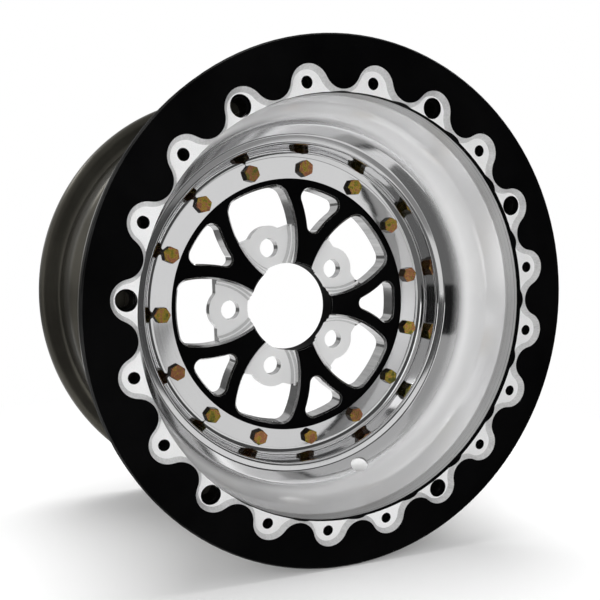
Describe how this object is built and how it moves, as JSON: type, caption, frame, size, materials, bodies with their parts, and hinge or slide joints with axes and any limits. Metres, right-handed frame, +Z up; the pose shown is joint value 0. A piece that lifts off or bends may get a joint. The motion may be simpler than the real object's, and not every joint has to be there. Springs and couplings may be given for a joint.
{
  "type": "beadlock wheel",
  "caption": "Bolted multi-piece racing wheel with a deep polished dish, a windowed black centre and a scalloped black clamping ring that holds the outboard tyre bead.",
  "frame": {"origin": "centre of the hub's mounting face, on the axle", "axes": "+Y along the axle towards the vehicle, so -Y is outboard; +Z up"},
  "size_m": [0.4179, 0.2873, 0.418],
  "materials": {
    "ring_black": "black anodised",
    "centre_black": "black anodised",
    "machined": "machined",
    "polished": "mirror polished",
    "spun": "dull spun",
    "fasteners": "yellow zinc"
  },
  "bodies": {
    "root": {"beadlock_ring": "ring_black", "bead_mount_ring": "machined", "outer_rim_half": "polished", "wheel_centre": "centre_black", "inner_rim_half": "spun", "flange_bolts": "fasteners", "flange_nuts": "fasteners"}
  },
  "joints": []
}
